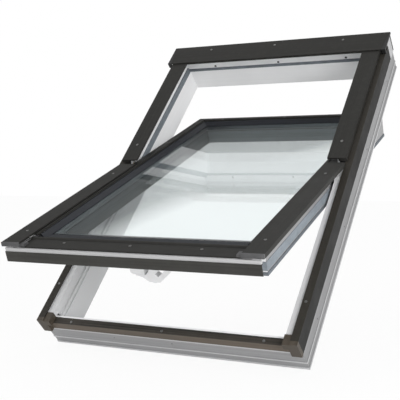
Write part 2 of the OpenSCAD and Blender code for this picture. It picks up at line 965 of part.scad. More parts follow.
// Bottom cover: slope up from the glass, a rounded bead, then a flat fall to a lip
module sash_bottom_cover() {
  bead_r = bead_h / 2 + bead_w * bead_w / (8 * bead_h);
  low = bottom_m - sheet;
  color(dark) in_sash() difference() {
    along_x(2 * (cover_b - clear)) union() {
      polygon([[edge_s, edge_m], [edge_s, edge_m + sheet], [foot_s, bottom_m], [foot_s - sheet, bottom_m],
        [foot_s - sheet, low], [foot_s, low], [edge_s - sheet, edge_m]]);
      intersection() {
        translate([bead_s, bottom_m + bead_h - bead_r]) circle(bead_r);
        rect([bead_s - bead_w, low], [bead_s + bead_w, bottom_m + bead_h]);
      }
      rect([-cover_s, low], [foot_s, bottom_m]);
      rect([-cover_s, low - sheet], [sheet - cover_s, bottom_m]);
    }
    sash_bottom_screw_places() screw_drill();
    both_sides() block([day_w, -sash_bot, m_bot], [sash_w, 0, sash_drop]);
  }
}

// White bars at the sides of the lower half that carry the wide covers
module sash_side_carrier(left) {
  low = strip_m + over;
  color(white) in_sash() flip(left) difference() {
    along_y(-cover_s, -carrier_end)
      box_section([sash_w, low], [carrier_w, -sheet], wall);
    sash_side_screw_places() screw_drill();
  }
}

module sash_side_carrier_left() {
  sash_side_carrier(true);
}

module sash_side_carrier_right() {
  sash_side_carrier(false);
}

// White hollow bar across the lower end, with a nose that the apron hangs from
module sash_bottom_carrier() {
  low = bottom_d + sheet + head_h + over - cover_n;
  nose_top = strip_m + over;
  color(white) in_sash() difference() {
    union() {
      along_x(2 * sash_w) difference() {
        bottom_carrier_outline(low, 0);
        bottom_carrier_outline(low, wall);
      }
      along_x(2 * carrier_w) rect([-nose_s, nose_top - nose_h], [2 * sheet - cover_s, nose_top]);
    }
    sash_bottom_screw_places() screw_drill();
  }
}

// Outline of that bar, a wall's depth inside itself or none; its inner corner slopes under the cover
module bottom_carrier_outline(low, depth) {
  top = bottom_m - sheet - depth;
  front = sheet - cover_s + depth;
  back = -sash_bot - depth;
  slope = (bottom_m - sheet - edge_m) / (foot_s - edge_s + sheet);
  polygon([[front, low + depth], [back, low + depth], [back, top + slope * (back - foot_s) - depth],
    [foot_s - depth, top], [front, top]]);
}

// Folded apron under the nose
module sash_apron() {
  top = strip_m + over - nose_h;
  low = top - apron_h;
  front = -nose_s - sheet;
  color(dark) in_sash() along_x(2 * (carrier_w + sheet)) polygon([
    [front, low], [front, top], [-cover_s, top], [-cover_s, top - sheet],
    [-nose_s, top - sheet], [-nose_s, low]
  ]);
}

module sash_side_cover(left) {
  color(dark) in_sash() flip(left) difference() {
    along_y(-cover_s, lower_start) cover_section(sash_fold);
    sash_side_screw_places() screw_drill();
  }
}

module sash_side_cover_left() {
  sash_side_cover(true);
}

module sash_side_cover_right() {
  sash_side_cover(false);
}

// Plastic cap on the lower end of a wide cover, with a small clip beside it
module sash_end_cap(left) {
  clip_w = 14;
  clip_low = cover_s - nose_l;
  color("#4c4c4e") in_sash() flip(left) union() {
    block([cover_b, -nose_s, -sash_fold], [cover_a, -cover_s, 0]);
    block([cover_b - clip_w, -cover_s, bottom_m], [cover_b + sheet, clip_w - clip_low, -inner_fold]);
    block([cover_b - sheet, -nose_s, bottom_m], [cover_b + sheet, clip_w - clip_low, -inner_fold]);
  }
}

module sash_end_cap_left() {
  sash_end_cap(true);
}

module sash_end_cap_right() {
  sash_end_cap(false);
}

// Seals of the sash

// Slate band along the lower half of each side, returned round the lower corners
module sash_side_gasket() {
  levels = [for (share = band_shares) m_top - share * sash_d];
  color(slate) in_sash() both_sides() {
    block([sash_w, -sash_bot - gasket_t, levels[1]], [sash_w + gasket_t, -carrier_end, levels[0]]);
    block([day_w, -sash_bot - gasket_t, levels[1]], [sash_w, -sash_bot, levels[0]]);
  }
}

// Dark strip round the sash's inner edge
module sash_inner_seal() {
  levels = [for (share = seal_shares) m_top - share * sash_d];
  t = [gasket_t, gasket_t];
  color("#55555a") in_sash() slab(levels[1], levels[0]) difference() {
    rect([-sash_w, -sash_bot] - t, [sash_w, sash_top] + t);
    rect([-sash_w, -sash_bot], [sash_w, sash_top]);
  }
}

module sash_cover_screws() {
  color(steel) in_sash() {
    both_sides() {
      sash_side_screw_places() screw();
      glazing_cover_screw_places() screw();
    }
    glazing_top_screw_places() screw();
    sash_bottom_screw_places() screw();
  }
}

// Handle and lock

// Base on the room side, with a bevelled outer end
module handle_base() {
  ends = [for (share = base_shares) hub_x + share * handle_l];
  bevel = base_d / 4;
  color(white) in_sash() difference() {
    along_y(hub_y - grip_w / 2, hub_y + grip_w / 2) polygon([
      [ends[0] - bevel, m_bot], [ends[1], m_bot], [ends[1], m_bot - base_d],
      [ends[0], m_bot - base_d], [ends[0] - bevel, m_bot - base_d + bevel]
    ]);
    translate([hub_x, hub_y, m_bot - base_d - over]) cylinder(h = base_d + 2 * over, r = spindle_r + clear);
  }
}

function lever_points(shares) = [for (p = shares) [p[0] * handle_l, -p[1] * handle_d - clear]];

// Loop lever with the spindle and the wheel that drives the lock bar
module handle_lever() {
  belly = lever_points([belly_share])[0];
  stem = rack_m + rack_h - m_bot + base_d;
  color(white) in_sash() translate([hub_x, hub_y, m_bot]) union() {
    along_y(-grip_w / 2, grip_w / 2) difference() {
      union() {
        polygon(lever_points(lever_shares));
        translate(belly) circle(handle_d + belly[1]);
      }
      polygon(lever_points(hole_shares));
    }
    translate([0, 0, -base_d - over]) cylinder(h = stem + over, r = spindle_r);
    translate([0, 0, rack_m - m_bot]) cylinder(h = rack_h, r = pinion_r - clear);
  }
}

// Flat bar along the lower edge of the sash with a drive tab and two headed pegs
module lock_bar() {
  color(steel) in_sash() union() {
    block([-peg_at - 2 * bar_travel, bar_s - bar_t, bar_m - bar_h / 2], [peg_at, bar_s, bar_m + bar_h / 2]);
    block([hub_x - pinion_r, bar_s - bar_t, rack_m], [hub_x + pinion_r, hub_y - pinion_r, rack_m + rack_h]);
    for (x = [-peg_at, peg_at])
      translate([x - bar_travel, bar_s - bar_t / 2, bar_m]) rotate([90, 0, 0]) {
        cylinder(h = peg_l + bar_t / 2, r = peg_r);
        translate([0, 0, peg_l - bar_t / 2]) cylinder(h = bar_t, r = peg_head_r);
      }
  }
}

// Straps that keep the lock bar on the sash
module lock_bar_guides() {
  room = [bar_t + 2 * clear, bar_h / 2 + clear];
  color(steel) in_sash() for (x = [-peg_at / 2, peg_at / 2])
    translate([x, -sash_bot, bar_m]) along_x(bar_h) difference() {
      rect([-room[0] - sheet, -room[1] - sheet], [0, room[1] + sheet]);
      rect([-room[0], -room[1]], [over, room[1]]);
    }
}

// Angles on the bottom rail's step whose hooks the lock pegs slide under
module strike_plates() {
  back = -lip_h;
  hook = cover_n + bar_m + peg_head_r + over;
  tip = back + hook_reach;
  color(steel) on_roof() for (x = [-peg_at, peg_at]) translate([x, 0, 0]) along_x(bar_h) polygon([
    [back, ledge_n], [back + sheet, ledge_n], [back + sheet, hook], [tip, hook], [tip, hook + sheet],
    [back, hook + sheet]
  ]);
}

frame_top_rail();
frame_bottom_rail();
frame_left_jamb();
frame_right_jamb();
frame_reinforcement();
frame_upper_gasket();
frame_lower_liners();
hood();
hood_end_caps();
hood_end_blocks();
side_strip_left();
side_strip_right();
strip_end_cap_left();
strip_end_cap_right();
corner_block_left();
corner_block_right();
bottom_cover();
upper_cover_carrier_left();
upper_cover_carrier_right();
upper_side_cover_left();
upper_side_cover_right();
frame_hinge_left();
frame_hinge_right();
hinge_screws();
strike_plates();
frame_cover_screws();
top_rail_screws();
sash_top_rail();
sash_bottom_rail();
sash_left_stile();
sash_right_stile();
sash_reinforcement();
outer_pane();
inner_pane();
spacer_frame();
edge_seal();
inner_glazing_gasket();
outer_glazing_gasket();
glazing_cover_left();
glazing_cover_right();
glazing_cover_top();
sash_bottom_cover();
sash_side_carrier_left();
sash_side_carrier_right();
sash_bottom_carrier();
sash_apron();
sash_side_cover_left();
sash_side_cover_right();
sash_end_cap_left();
sash_end_cap_right();
sash_side_gasket();
sash_inner_seal();
sash_hinge_left();
sash_hinge_right();
friction_shoes();
sash_cover_screws();
handle_base();
handle_lever();
lock_bar();
lock_bar_guides();
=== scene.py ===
"""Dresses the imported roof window: finishes for its CAD pieces, small fittings, and a plain stage."""

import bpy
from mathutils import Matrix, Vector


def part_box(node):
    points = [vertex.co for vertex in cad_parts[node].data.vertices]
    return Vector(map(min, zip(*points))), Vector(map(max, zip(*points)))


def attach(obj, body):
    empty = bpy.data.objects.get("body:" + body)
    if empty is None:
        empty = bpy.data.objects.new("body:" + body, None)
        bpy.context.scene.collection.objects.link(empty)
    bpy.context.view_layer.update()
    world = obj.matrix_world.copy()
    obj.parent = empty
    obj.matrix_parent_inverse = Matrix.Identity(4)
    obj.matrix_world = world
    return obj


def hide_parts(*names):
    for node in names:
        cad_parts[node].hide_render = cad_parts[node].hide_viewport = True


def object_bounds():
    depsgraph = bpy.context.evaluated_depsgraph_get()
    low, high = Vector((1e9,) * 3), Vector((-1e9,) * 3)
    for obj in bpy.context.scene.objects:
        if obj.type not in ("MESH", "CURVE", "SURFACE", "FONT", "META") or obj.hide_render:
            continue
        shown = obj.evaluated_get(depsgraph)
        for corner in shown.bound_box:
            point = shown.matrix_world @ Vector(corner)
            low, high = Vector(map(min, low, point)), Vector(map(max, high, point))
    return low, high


bl_info = {
    "name": "Roof Window Dressing",
    "version": (1, 0, 0),
    "blender": (4, 5, 0),
    "location": "3D View > Sidebar > Roof Window",
    "description": "Finishes, small fittings and a stage for a centre-pivot roof window",
    "category": "Object",
}

import math
from typing import NamedTuple

import bmesh
import bpy
from bpy.props import FloatProperty, FloatVectorProperty, PointerProperty
from mathutils import Matrix, Vector

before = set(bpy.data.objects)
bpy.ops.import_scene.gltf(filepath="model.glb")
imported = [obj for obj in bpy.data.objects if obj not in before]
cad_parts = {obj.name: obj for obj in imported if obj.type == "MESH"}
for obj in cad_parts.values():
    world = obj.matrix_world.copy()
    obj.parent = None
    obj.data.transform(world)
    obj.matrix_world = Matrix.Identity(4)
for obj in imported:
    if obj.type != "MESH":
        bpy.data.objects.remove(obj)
CAD_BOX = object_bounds()

# Axes of a plane of the window
ACROSS, UP_SLOPE, OUTWARD = 0, 1, 2

# Sides of a limit, as the Math node names them
BEYOND, SHORT_OF = "GREATER_THAN", "LESS_THAN"


class Plane(NamedTuple):
    """A plane of the window: how far it leans, and where its middle is."""

    lean: float
    origin: Vector

    def axes(self):
        """Across, up the slope and outward, in the row frame."""
        turn = Matrix.Rotation(self.lean, 3, "X")
        return [turn @ Vector(axis) for axis in ((1, 0, 0), (0, 1, 0), (0, 0, 1))]


class Zone(NamedTuple):
    """A part of a profile painted another colour, beyond or short of a limit on an axis; the zones here paint
    shade and highlights.
    """

    axis: int
    side: str
    limit: float
    colour: tuple
    from_middle: bool = True


class Bores(NamedTuple):
    """Screw holes along an axis: how far from the middle they start and end, and the dark colour painted
    inside them as shade.
    """

    axis: int
    start: float
    end: float
    colour: tuple


# The window plane leans by the roof's pitch, and the open sash by less
ROOF_PITCH, SASH_OPENING = 45, 25.6
PIVOT_HEIGHT = 0.146
UPRIGHT = Plane(0.0, Vector((0, 0, 0)))
ROOF = Plane(math.radians(ROOF_PITCH), Vector((0, 0, 0)))
SASH = Plane(math.radians(ROOF_PITCH - SASH_OPENING),
             Matrix.Rotation(ROOF.lean, 3, "X") @ Vector((0, 0, PIVOT_HEIGHT)))

# Distances from the frame's middle of its outside walls, of their ribs, and of both ends of their screw holes
JAMB_OUTSIDE, JAMB_RIBS = 0.3870, 0.3889
RAIL_OUTSIDE, RAIL_RIBS = 0.5870, 0.5889
JAMB_BORES, RAIL_BORES = (0.362, 0.3868), (0.562, 0.5868)

# Heights above the frame's back of the screw holes and of the covers' upper faces
BORE_LEVELS = (0.040, 0.070)
STRIP_TOP = 0.1288
BOTTOM_COVER_TOP = 0.1052

# Places on the sash: faces towards the daylight opening, outside of the stiles, glazing rebate
STILE_DAYLIGHT, STILE_OUTSIDE = 0.2935, 0.3424
TOP_DAYLIGHT, BOTTOM_DAYLIGHT = 0.4805, -0.4865
REBATE_FLOOR = -0.0125

# Places up the slope between which a jamb's tone falls to the share that is left at its lower end: painted
# shade of the open sash
SHADE_FULL_PLACE, SHADE_END_PLACE = -0.35, 0.15
JAMB_PAINTED_SHADE_SHARE = 0.72

# Shares of the outside grey, painted as shade on the walls of the jambs, rails and stiles, each at its own
# level for how it is lit, and as painted highlights on the ribs of the jambs and rails
JAMB_WALL_SHADE_SHARE, JAMB_RIB_HIGHLIGHT_SHARE = 0.85, 2.0
RAIL_WALL_SHADE_SHARE, RAIL_RIB_HIGHLIGHT_SHARE = 1.5, 2.9
STILE_WALL_SHADE_SHARE = 1.2

# Shares of the profile white, lighter on the rails as painted light and darker on the nose as painted shade,
# of the sash's slate, darker on the stiles as painted shade, of the cover paint, darker on the strips' sides
# as painted shade, and of the gaskets' slate
RAIL_PAINTED_LIGHT_SHARE, NOSE_PAINTED_SHADE_SHARE = 1.06, 0.52
STILE_SHADE_SLATE_SHARE = 0.25
STRIP_SIDE_SHADE_SHARE, BOTTOM_TOP_SHARE, APRON_SHARE, SCREW_BLACK_SHARE = 0.3, 1.2, 2.0, 2.0
SIDE_GASKET_SHARE, INNER_SEAL_SHARE = 1.3, 0.75

# Half the width over which one paint gives way to another
PAINT_EDGE = 0.0002

# Colours of scuffed plastic and of dust
SCUFF = (0.55, 0.56, 0.57, 1)
DUST = (0.32, 0.31, 0.29, 1)

# Distances within which vertices are one, and within which they lie on a screw's top
WELD, TOP_DEPTH = 1e-6, 1e-4

# Cells across a screw head, and shares of its radius, of its height and of its shank
HEAD_CELLS = 7
RECESS_WIDTH_SHARE, RECESS_REACH_SHARE, RECESS_TAPER_SHARE = 0.1, 0.6, 0.75
CROWN_SHARE, RECESS_DEPTH_SHARE, HEAD_SIDE_SHARE = 0.35, 0.55, 0.65
SHANK_SHARE, POINT_SHARE, TIP_SHARE = 0.8, 0.2, 0.15

# The rubber lip: its lower edge and the pane's face on the sash, its inset, rounding and section's shares
LIP_START, PANE_FACE = -0.5275, -0.0239
LIP_INSET, LIP_ROUNDING = 0.0004, 0.0004
LIP_FLAT_SHARE, LIP_EDGE_SHARE = 0.7, 0.25

# The stage: lamps, the room's directions, floor and camera
KEY_PLACE, KEY_SIZE = (-2.2, -2.6, 3.2), 2.6
FRONT_PLACE, FRONT_SIZE = (2.6, -1.9, 0.35), 1.8
BRIGHT_SIDE, DARK_SIDE = -0.4, 0.7
BAND_FOOT, BAND_HEAD = (0.24, 0.32), (0.572, 0.590)
FLOOR_HALF, FLOOR_GAP, FLOOR_WHITE = 9.0, 0.001, (0.92, 0.92, 0.92, 1)
CAMERA_PLACE, CAMERA_TURN = (1.12116, -2.41935, 0.10226), (87.5932, 0.3453, 27.4739)
SENSOR_WIDTH = 36


class RoofWindowFinishes(bpy.types.PropertyGroup):
    """Colours of the window's materials."""

    profile_white: FloatVectorProperty(
        name="Profile White", description="Colour of the plastic profiles",
        subtype="COLOR", size=3, min=0, max=1, default=(0.86, 0.86, 0.866))
    # Painted shade: the grey stands for shade on the outside walls of the white profiles, and the ribs are
    # lighter as painted highlights
    outside_shade_grey: FloatVectorProperty(
        name="Outside Grey", description="Colour of the frame's unpolished outside",
        subtype="COLOR", size=3, min=0, max=1, default=(0.20, 0.20, 0.204))
    # Painted shade: the sash's faces towards the daylight opening are painted slate for the shade behind the
    # glass
    sash_shade_slate: FloatVectorProperty(
        name="Sash Slate", description="Colour of the sash's faces towards the daylight opening",
        subtype="COLOR", size=3, min=0, max=1, default=(0.24, 0.28, 0.295))
    cover_paint: FloatVectorProperty(
        name="Cover Paint", description="Colour of the painted metal covers",
        subtype="COLOR", size=3, min=0, max=1, default=(0.020, 0.0196, 0.0180))
    strip_paint: FloatVectorProperty(
        name="Strip Paint", description="Colour of the outer faces of the side strips",
        subtype="COLOR", size=3, min=0, max=1, default=(0.036, 0.033, 0.028))
    bottom_paint: FloatVectorProperty(
        name="Bottom Cover Paint", description="Colour of the frame's bottom cover",
        subtype="COLOR", size=3, min=0, max=1, default=(0.115, 0.095, 0.075))
    cap_black: FloatVectorProperty(
        name="Cap Black", description="Colour of the moulded black caps",
        subtype="COLOR", size=3, min=0, max=1, default=(0.010, 0.010, 0.010))
    cap_brown: FloatVectorProperty(
        name="Cap Brown", description="Colour of the moulded caps at the frame's lower corners",
        subtype="COLOR", size=3, min=0, max=1, default=(0.058, 0.047, 0.035))
    cap_grey: FloatVectorProperty(
        name="Cap Grey", description="Colour of the moulded end caps of the sash covers",
        subtype="COLOR", size=3, min=0, max=1, default=(0.075, 0.075, 0.077))
    gasket_slate: FloatVectorProperty(
        name="Gasket Slate", description="Colour of the slate gaskets",
        subtype="COLOR", size=3, min=0, max=1, default=(0.16, 0.18, 0.20))
    seal_black: FloatVectorProperty(
        name="Seal Black", description="Colour of the glazing seals",
        subtype="COLOR", size=3, min=0, max=1, default=(0.014, 0.016, 0.021))
    glass_tint: FloatVectorProperty(
        name="Glass Tint", description="Colour of the light that passes a pane",
        subtype="COLOR", size=3, min=0, max=1, default=(0.935, 0.968, 0.970))
    spacer_grey: FloatVectorProperty(
        name="Spacer Grey", description="Colour of the metal spacer between the panes",
        subtype="COLOR", size=3, min=0, max=1, default=(0.20, 0.22, 0.23))
    plate_zinc: FloatVectorProperty(
        name="Plate Zinc", description="Colour of the hinges, the lock and the reinforcements",
        subtype="COLOR", size=3, min=0, max=1, default=(0.58, 0.59, 0.60))
    shoe_brass: FloatVectorProperty(
        name="Shoe Brass", description="Colour of the friction shoes",
        subtype="COLOR", size=3, min=0, max=1, default=(0.60, 0.42, 0.17))
    screw_zinc: FloatVectorProperty(
        name="Screw Zinc", description="Colour of the bright screws",
        subtype="COLOR", size=3, min=0, max=1, default=(0.24, 0.24, 0.235))


class RoofWindowFittings(bpy.types.PropertyGroup):
    """Sizes of the small fittings."""

    head_radius: FloatProperty(
        name="Head Radius", description="Radius of a screw head",
        unit="LENGTH", min=0.002, max=0.006, default=0.0039)
    head_height: FloatProperty(
        name="Head Height", description="Height of a screw head",
        unit="LENGTH", min=0.0008, max=0.003, default=0.0016)
    shank_radius: FloatProperty(
        name="Shank Radius", description="Radius of a screw's shank",
        unit="LENGTH", min=0.001, max=0.002, default=0.0016)
    shank_length: FloatProperty(
        name="Shank Length", description="Length of a screw's shank",
        unit="LENGTH", min=0.004, max=0.009, default=0.0085)
    lip_width: FloatProperty(
        name="Lip Width", description="Width of the rubber lip on the pane",
        unit="LENGTH", min=0.005, max=0.04, default=0.028)
    lip_thickness: FloatProperty(
        name="Lip Thickness", description="Thickness of the rubber lip on the pane",
        unit="LENGTH", min=0.0005, max=0.004, default=0.0018)


class RoofWindowStage(bpy.types.PropertyGroup):
    """Light, floor and camera."""

    key_power: FloatProperty(
        name="Key Power", description="Power of the large lamp", unit="POWER", min=0, default=9)
    fill_level: FloatProperty(
        name="Fill Level", description="Brightness of the room light from the brighter side",
        min=0, default=0.95)
    shade_level: FloatProperty(
        name="Shade Level", description="Brightness of the room light from the darker side",
        min=0, default=0.60)
    gloss_shade: FloatProperty(
        name="Gloss Shade", description="Brightness of the shaded band that gloss and glass show",
        subtype="FACTOR", min=0, max=1, default=0.12)
    front_power: FloatProperty(
        name="Front Power", description="Power of the lamp in front", unit="POWER", min=0, default=66)
    shadow_share: FloatProperty(
        name="Shadow Share", description="How much of its shadow the floor shows",
        subtype="FACTOR", min=0, max=1, default=0.08)
    lens: FloatProperty(
        name="Lens", description="Focal length of the camera",
        unit="CAMERA", min=10, max=200, default=76.545)


# Node trees


def feed(tree, socket, value):
    """Link a socket to another one, or set it to a value."""
    if isinstance(value, bpy.types.NodeSocket):
        tree.links.new(value, socket)
    else:
        socket.default_value = value


def reckon(tree, operation, first, second):
    """Result of a Math node on two values or sockets."""
    made = tree.nodes.new("ShaderNodeMath")
    made.operation = operation
    feed(tree, made.inputs[0], first)
    feed(tree, made.inputs[1], second)
    return made.outputs[0]


def ramp(tree, value, places, levels):
    """A value that goes from one level to another between two places."""
    made = tree.nodes.new("ShaderNodeMapRange")
    keys = ("Value", "From Min", "From Max", "To Min", "To Max")
    for key, given in zip(keys, (value, *places, *levels)):
        feed(tree, made.inputs[key], given)
    return made.outputs["Result"]


def mix_shaders(tree, share, first, second):
    """Mix of two shaders by a share."""
    made = tree.nodes.new("ShaderNodeMixShader")
    for socket, source in zip(made.inputs, (share, first, second)):
        feed(tree, socket, source)
    return made.outputs[0]


def tint(colour, factor):
    """A colour made lighter or darker."""
    return tuple(min(1.0, c * factor) for c in colour)


def shade(colour, factor):
    """A colour made lighter or darker, with alpha."""
    return (*tint(colour, factor), 1.0)


def along(axis, fine, coarse):
    """Scales of a pattern that is fine across a profile and long along it."""
    return [coarse if i == axis else fine for i in range(3)]


class Finish:
    """A node material that is built up on a Principled shader."""

    def __init__(self, name):
        self.material = bpy.data.materials.new(name)
        self.material.use_nodes = True
        self.tree = self.material.node_tree
        self.shader = self.tree.nodes["Principled BSDF"]

    def node(self, kind, **inputs):
        made = self.tree.nodes.new(kind)
        for key, value in inputs.items():
            feed(self.tree, made.inputs[key], value)
        return made

    def constant(self, **values):
        for key, value in values.items():
            self.shader.inputs[key.replace("_", " ")].default_value = value

    def place(self, plane=UPRIGHT):
        """Object coordinates turned into a plane of the window."""
        turn = Matrix.Rotation(-plane.lean, 3, "X")
        coordinates = self.node("ShaderNodeTexCoord").outputs["Object"]
        return self.node("ShaderNodeMapping", Vector=coordinates, Location=-(turn @ plane.origin),
                         Rotation=(-plane.lean, 0, 0)).outputs["Vector"]

    def split(self, vector):
        """The three parts of a vector."""
        return self.node("ShaderNodeSeparateXYZ", Vector=vector).outputs

    def noise(self, place, scale, detail=3.0, roughness=0.5):
        return self.node("ShaderNodeTexNoise", Vector=place, Scale=scale, Detail=detail,
                         Roughness=roughness).outputs["Fac"]

    def streaks(self, place, scales, detail=3.0, roughness=0.5):
        """Noise that is drawn out along an axis."""
        drawn = self.node("ShaderNodeMapping", Vector=place, Scale=scales).outputs["Vector"]
        return self.noise(drawn, 1.0, detail, roughness)

    def spread(self, value, low=0, high=1, start=0.3, end=0.7):
        """A noise value spread over a range."""
        return ramp(self.tree, value, (start, end), (low, high))

    def math(self, operation, first, second):
        return reckon(self.tree, operation, first, second)

    def added(self, first, second, share):
        """A value with a share of another on top."""
        return self.math("ADD", first, self.math("MULTIPLY", second, share))

    def from_middle(self, value):
        return self.math("ABSOLUTE", value, 0.0)

    def between(self, value, low, high):
        """One where a value lies between two limits, and nothing elsewhere."""
        return self.math("MULTIPLY", self.math(BEYOND, value, low), self.math(SHORT_OF, value, high))

    def blend(self, share, first, second):
        """Mix of two colours or colour sockets."""
        made = self.tree.nodes.new("ShaderNodeMix")
        made.data_type = "RGBA"
        sockets = [s for s in made.inputs if s.enabled]
        for socket, value in zip(sockets, (share, first, second)):
            feed(self.tree, socket, value)
        return next(s for s in made.outputs if s.enabled)

    def varied(self, pattern, colour, dark, light):
        """A colour that a pattern makes darker and lighter."""
        return self.blend(self.spread(pattern), shade(colour, dark), shade(colour, light))

    def colour(self, socket):
        feed(self.tree, self.shader.inputs["Base Color"], socket)

    def roughness(self, socket):
        feed(self.tree, self.shader.inputs["Roughness"], socket)

    def bump(self, height, strength, distance):
        made = self.node("ShaderNodeBump", Height=height, Strength=strength, Distance=distance)
        feed(self.tree, self.shader.inputs["Normal"], made.outputs["Normal"])


# Materials


def profile_plastic(name, colour, plane, run, zones=(), painted_shade=1.0, bores=None):
    """Extruded plastic: faint draw lines along the profile, a cloudy tone that may fall to a darker share
    towards the lower end as painted shade, zones of other colours that here paint shade and highlights, and
    screw holes painted dark as shade."""
    finish = Finish(name)
    place = finish.place(plane)
    axes = finish.split(place)
    lines = finish.streaks(place, along(run, fine=420.0, coarse=1.5), detail=4.0, roughness=0.6)
    clouds = finish.noise(place, scale=7.0)
    specks = finish.noise(place, scale=900.0, detail=2.0)
    tone = finish.varied(clouds, colour, dark=0.965, light=1.02)
    # Painted shade: the tone falls to a darker share towards the lower end, where the open sash shades the
    # jamb
    if painted_shade < 1.0:
        shade_ramp = finish.spread(axes[UP_SLOPE], low=1, high=0, start=SHADE_FULL_PLACE, end=SHADE_END_PLACE)
        tone = finish.blend(shade_ramp, tone, shade(colour, painted_shade))
    for zone in zones:
        value = axes[zone.axis]
        if zone.from_middle:
            value = finish.from_middle(value)
        inside = finish.math(zone.side, value, zone.limit)
        tone = finish.blend(inside, tone, finish.varied(lines, zone.colour, dark=0.86, light=1.14))
    # Painted shade: the insides of the screw holes are painted dark
    if bores:
        depth = finish.between(finish.from_middle(axes[bores.axis]), bores.start, bores.end)
        level = finish.between(axes[OUTWARD], *BORE_LEVELS)
        tone = finish.blend(finish.math("MULTIPLY", depth, level), tone, shade(bores.colour, 1.0))
    finish.colour(finish.blend(finish.spread(lines, high=0.10), tone, SCUFF))
    touch = finish.added(finish.math("MULTIPLY", clouds, 0.6), specks, share=0.4)
    finish.roughness(finish.spread(touch, low=0.26, high=0.40))
    finish.bump(finish.added(lines, specks, share=0.3), strength=0.25, distance=0.0003)
    finish.constant(Specular_IOR_Level=0.42)
    return finish.material


def powder_paint(name, colour, plane, run, top=None):
    """Powder-coated sheet: orange-peel bump, soft cloudy tone and a little settled dust.
    Top is a height above which the sheet has another colour, and that colour."""
    finish = Finish(name)
    place = finish.place(plane)
    peel = finish.noise(place, scale=1300.0, detail=2.0)
    clouds = finish.noise(place, scale=9.0, detail=4.0)
    rolling = finish.streaks(place, along(run, fine=260.0, coarse=2.0))
    dust = finish.noise(place, scale=70.0, detail=6.0, roughness=0.7)
    tone = finish.varied(clouds, colour, dark=0.86, light=1.14)
    if top:
        limit, other = top
        height = finish.split(place)[OUTWARD]
        above = finish.spread(height, start=limit - PAINT_EDGE, end=limit + PAINT_EDGE)
        tone = finish.blend(above, tone, shade(other, 1.0))
    tone = finish.blend(finish.spread(rolling, high=0.12), tone, shade(colour, 3.5))
    tone = finish.blend(finish.spread(dust, high=0.03, start=0.5, end=0.8), tone, DUST)
    finish.colour(tone)
    finish.roughness(finish.spread(clouds, low=0.42, high=0.55))
    finish.bump(finish.added(peel, rolling, share=0.4), strength=0.3, distance=0.0002)
    finish.constant(Specular_IOR_Level=0.12)
    return finish.material


def moulded_plastic(name, colour):
    """Moulded plastic with a fine leather grain."""
    finish = Finish(name)
    place = finish.place()
    grain = finish.node("ShaderNodeTexVoronoi", Vector=place, Scale=1100.0).outputs["Distance"]
    clouds = finish.noise(place, scale=24.0, detail=4.0)
    finish.colour(finish.varied(clouds, colour, dark=0.75, light=1.3))
    finish.roughness(finish.spread(clouds, low=0.44, high=0.60))
    finish.bump(grain, strength=0.35, distance=0.0002)
    finish.constant(Specular_IOR_Level=0.35)
    return finish.material


def soft_seal(name, colour, plane, rough=0.62):
    """Soft extruded seal: lengthwise lines, bloom and a dull skin."""
    finish = Finish(name)
    place = finish.place(plane)
    lines = finish.streaks(place, along(UP_SLOPE, fine=300.0, coarse=3.0))
    bloom = finish.noise(place, scale=38.0, detail=5.0, roughness=0.65)
    tone = finish.varied(bloom, colour, dark=0.82, light=1.18)
    finish.colour(finish.blend(finish.spread(lines, high=0.2), tone, shade(colour, 1.5)))
    finish.roughness(finish.spread(bloom, low=rough - 0.08, high=rough + 0.10))
    finish.bump(lines, strength=0.3, distance=0.0003)
    finish.constant(Specular_IOR_Level=0.3)
    return finish.material


def plated_metal(name, colour, rough):
    """Plated metal: faint spangle and rolling scratches."""
    finish = Finish(name)
    place = finish.place()
    spangle = finish.node("ShaderNodeTexVoronoi", Vector=place, Scale=420.0).outputs["Color"]
    cells = finish.spread(finish.split(spangle)[0], start=0.0, end=1.0)
    scratches = finish.streaks(place, along(ACROSS, fine=700.0, coarse=12.0))
    finish.colour(finish.blend(cells, shade(colour, 0.88), shade(colour, 1.1)))
    finish.roughness(finish.spread(scratches, low=rough - 0.08, high=rough + 0.12))
    finish.bump(scratches, strength=0.2, distance=0.0002)
    finish.constant(Metallic=1.0)
    return finish.material


def float_glass(name, colour):
    """Clear glass with a faint drift of its tint and a thin film on it."""
    finish = Finish(name)
    place = finish.place(SASH)
    drift = finish.noise(place, scale=3.0, detail=2.0)
    film = finish.noise(place, scale=45.0, detail=5.0, roughness=0.7)
    finish.colour(finish.varied(drift, colour, dark=0.99, light=1.01))
    finish.roughness(finish.spread(film, high=0.012, start=0.55, end=0.8))
    finish.constant(IOR=1.5, Transmission_Weight=1.0)
    return finish.material


def dress(material, *nodes):
    """Give a material to CAD nodes."""
    for name in nodes:
        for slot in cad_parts[name].material_slots:
            slot.material = material


def left_right(*names):
    """The names of both pieces of each pair."""
    return [name + side for name in names for side in ("_left", "_right")]


# Operators


